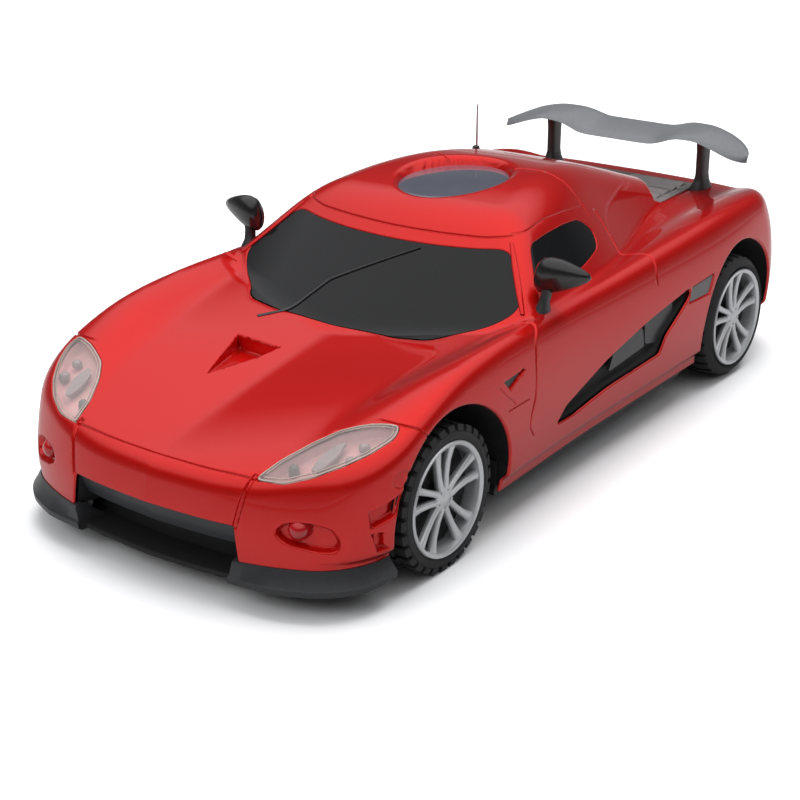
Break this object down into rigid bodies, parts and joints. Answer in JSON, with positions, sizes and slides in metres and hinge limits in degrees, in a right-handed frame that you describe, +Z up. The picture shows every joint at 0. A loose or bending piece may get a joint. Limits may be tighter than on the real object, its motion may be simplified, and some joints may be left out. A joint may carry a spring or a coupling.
{
  "type": "radio-controlled model sports car",
  "caption": "Small-scale radio-controlled mid-engined sports car with a rear wing, steering front wheels, geared rear axle, battery bay and aerial.",
  "frame": {"origin": "on the ground under the car's centre, midway between the axles", "axes": "+Z up, -Y towards the nose, +X towards the car's left side"},
  "size_m": [0.1264, 0.239, 0.0837],
  "materials": {
    "paint": "metallic red lacquer on polycarbonate",
    "glass_dark": "smoked clear plastic",
    "lens_clear": "clear plastic",
    "reflector": "vacuum-metallised plastic",
    "led": "clear epoxy lamp",
    "lamp_red": "red translucent plastic",
    "trim_black": "satin black plastic",
    "cabin_black": "matt black plastic",
    "whip_grey": "grey plastic-coated wire",
    "chassis_black": "matt black moulded plastic",
    "gear_white": "natural acetal",
    "brass": "machined brass",
    "steel": "plated steel",
    "motor_steel": "plated steel can",
    "cell": "plain printed sleeve",
    "board": "green solder mask",
    "component": "black moulded package",
    "rim_silver": "satin silver plated plastic",
    "tyre": "black rubber"
  },
  "bodies": {
    "chassis": {"body_shell": "paint", "windscreen": "glass_dark", "side_window_left": "glass_dark", "side_window_right": "glass_dark", "headlight_lens_left": "lens_clear", "headlight_lens_right": "lens_clear", "headlight_bowl_left": "reflector", "headlight_bowl_right": "reflector", "headlight_leds": "led", "fog_lamps": "lamp_red", "tail_lamps": "lamp_red", "roof_panel": "trim_black", "engine_cover": "trim_black", "front_grille": "trim_black", "front_splitter": "trim_black", "side_intake_left": "trim_black", "side_intake_right": "trim_black", "wing_blade": "trim_black", "wing_posts": "trim_black", "mirror_left": "trim_black", "mirror_right": "trim_black", "rear_grille": "trim_black", "rear_diffuser": "trim_black", "cabin_tray": "cabin_black", "antenna_whip": "whip_grey", "antenna_socket": "whip_grey", "chassis_tub": "chassis_black", "gearbox_case": "chassis_black", "gearbox_cover": "chassis_black", "steering_cover": "chassis_black", "axle_bushes": "brass", "battery_contacts": "steel", "body_screws": "steel", "cover_screws": "steel", "drive_motor": "motor_steel", "steering_motor": "motor_steel", "battery_cells": "cell", "circuit_board": "board", "board_parts": "component", "power_switch": "component"},
    "knuckle_left": {"knuckle_left": "chassis_black"},
    "knuckle_right": {"knuckle_right": "chassis_black"},
    "wheel_front_left": {"rim_front_left": "rim_silver", "tyre_front_left": "tyre"},
    "wheel_front_right": {"rim_front_right": "rim_silver", "tyre_front_right": "tyre"},
    "rear_wheels": {"rear_axle": "steel", "axle_gear": "gear_white", "rim_rear_left": "rim_silver", "rim_rear_right": "rim_silver", "tyre_rear_left": "tyre", "tyre_rear_right": "tyre"},
    "idler": {"idler_gear": "gear_white"},
    "motor_shaft": {"motor_pinion": "brass"},
    "rack": {"steering_rack": "chassis_black"},
    "steering_shaft": {"steering_pinion": "brass"},
    "trim": {"trim_lever": "chassis_black", "centring_spring": "steel"},
    "battery_door": {"battery_door": "chassis_black"},
    "switch_slider": {"switch_slider": "chassis_black"}
  },
  "joints": [
    {"name": "steer_left", "type": "hinge", "parent": "chassis", "child": "knuckle_left", "pos_m": [0.045, -0.074, 0.0182], "axis": [0, 0, 1], "range_deg": [-18, 18]},
    {"name": "steer_right", "type": "hinge", "parent": "chassis", "child": "knuckle_right", "pos_m": [-0.045, -0.074, 0.0182], "axis": [0, 0, 1], "range_deg": [-18, 18]},
    {"name": "rack_travel", "type": "slide", "parent": "chassis", "child": "rack", "axis": [1, 0, 0], "range_m": [-0.0026, 0.0026]},
    {"name": "steering_motor_turn", "type": "hinge", "parent": "chassis", "child": "steering_shaft", "pos_m": [0, -0.061, 0.0235], "axis": [0, 0, 1], "range_deg": [-46, 46]},
    {"name": "wheel_front_left_spin", "type": "hinge", "parent": "knuckle_left", "child": "wheel_front_left", "pos_m": [0.05, -0.074, 0.0182], "axis": [1, 0, 0], "continuous": true},
    {"name": "wheel_front_right_spin", "type": "hinge", "parent": "knuckle_right", "child": "wheel_front_right", "pos_m": [-0.05, -0.074, 0.0182], "axis": [1, 0, 0], "continuous": true},
    {"name": "rear_axle_spin", "type": "hinge", "parent": "chassis", "child": "rear_wheels", "pos_m": [0, 0.074, 0.0182], "axis": [1, 0, 0], "continuous": true},
    {"name": "idler_spin", "type": "hinge", "parent": "chassis", "child": "idler", "pos_m": [0.018, 0.0646, 0.02162], "axis": [1, 0, 0], "continuous": true},
    {"name": "motor_spin", "type": "hinge", "parent": "chassis", "child": "motor_shaft", "pos_m": [0.018, 0.05377, 0.01971], "axis": [1, 0, 0], "continuous": true},
    {"name": "trim_turn", "type": "hinge", "parent": "chassis", "child": "trim", "pos_m": [0, -0.084, 0.011], "axis": [0, 0, 1], "range_deg": [-5, 5]},
    {"name": "battery_door_lift", "type": "slide", "parent": "chassis", "child": "battery_door", "axis": [0, 0, -1], "range_m": [0, 0.015]},
    {"name": "power_switch_travel", "type": "slide", "parent": "chassis", "child": "switch_slider", "axis": [0, 1, 0], "range_m": [0, 0.004]}
  ],
  "couplings": [
    {"joint": "steer_right", "follows": "steer_left", "ratio": 1},
    {"joint": "rack_travel", "follows": "steer_left", "m_per_rad": -0.0075},
    {"joint": "steering_motor_turn", "follows": "steer_left", "ratio": -2.5},
    {"joint": "idler_spin", "follows": "rear_axle_spin", "ratio": -2.3333},
    {"joint": "motor_spin", "follows": "rear_axle_spin", "ratio": 6.2222}
  ]
}
